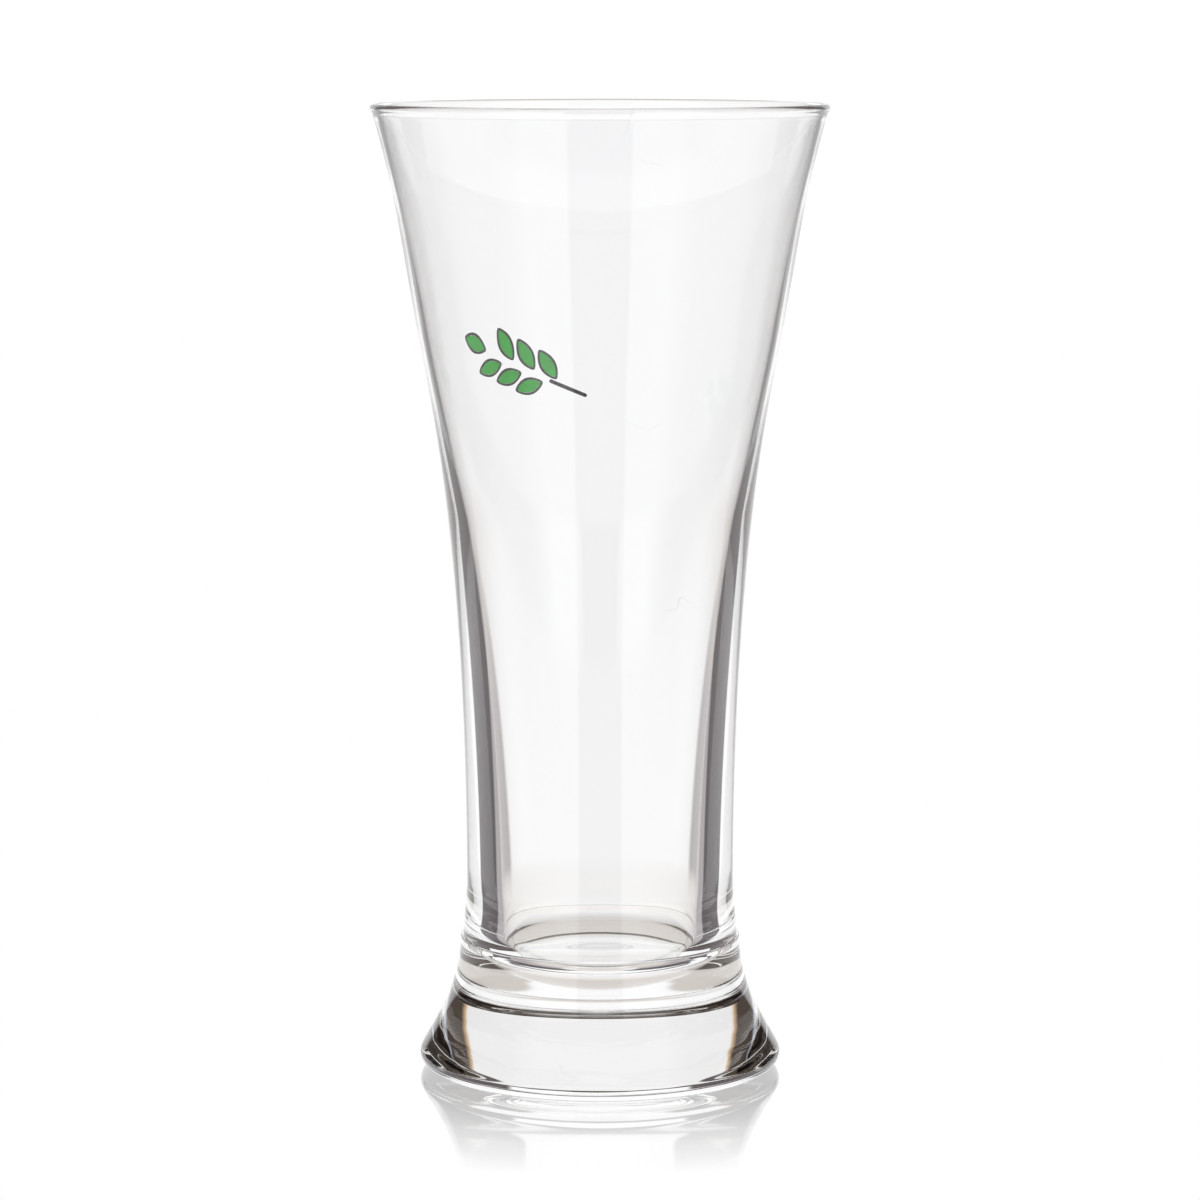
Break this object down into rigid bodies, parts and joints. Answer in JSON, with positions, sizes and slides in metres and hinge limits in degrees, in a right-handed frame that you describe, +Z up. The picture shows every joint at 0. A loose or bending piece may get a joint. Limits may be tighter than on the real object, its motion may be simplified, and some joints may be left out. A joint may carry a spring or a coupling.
{
  "type": "footed beer glass",
  "caption": "Clear flared beer glass with a thick-walled bowl on a heavy solid foot and a small green enamel barley print on the back.",
  "frame": {"origin": "centre of the bearing ring, on the surface that the glass stands on", "axes": "+Z up along the axis of the glass, -Y towards the viewer of the picture, the print on the +Y side"},
  "size_m": [0.0844, 0.0844, 0.18],
  "materials": {
    "bowl_glass": "clear soda-lime glass, polished, with a fire-polished lip",
    "foot_glass": "clear soda-lime glass, pressed and polished, worn on the bearing ring",
    "green_enamel": "fired green enamel, glossy, opaque",
    "dark_enamel": "fired near-black enamel line, glossy, opaque"
  },
  "bodies": {
    "root": {"bowl": "bowl_glass", "foot": "foot_glass", "upper_grain_1_fill": "green_enamel", "upper_grain_1_outline": "dark_enamel", "lower_grain_1_fill": "green_enamel", "lower_grain_1_outline": "dark_enamel", "upper_grain_2_fill": "green_enamel", "upper_grain_2_outline": "dark_enamel", "lower_grain_2_fill": "green_enamel", "lower_grain_2_outline": "dark_enamel", "upper_grain_3_fill": "green_enamel", "upper_grain_3_outline": "dark_enamel", "lower_grain_3_fill": "green_enamel", "lower_grain_3_outline": "dark_enamel", "tip_grain_fill": "green_enamel", "tip_grain_outline": "dark_enamel", "ear_stalk": "dark_enamel"}
  },
  "joints": []
}
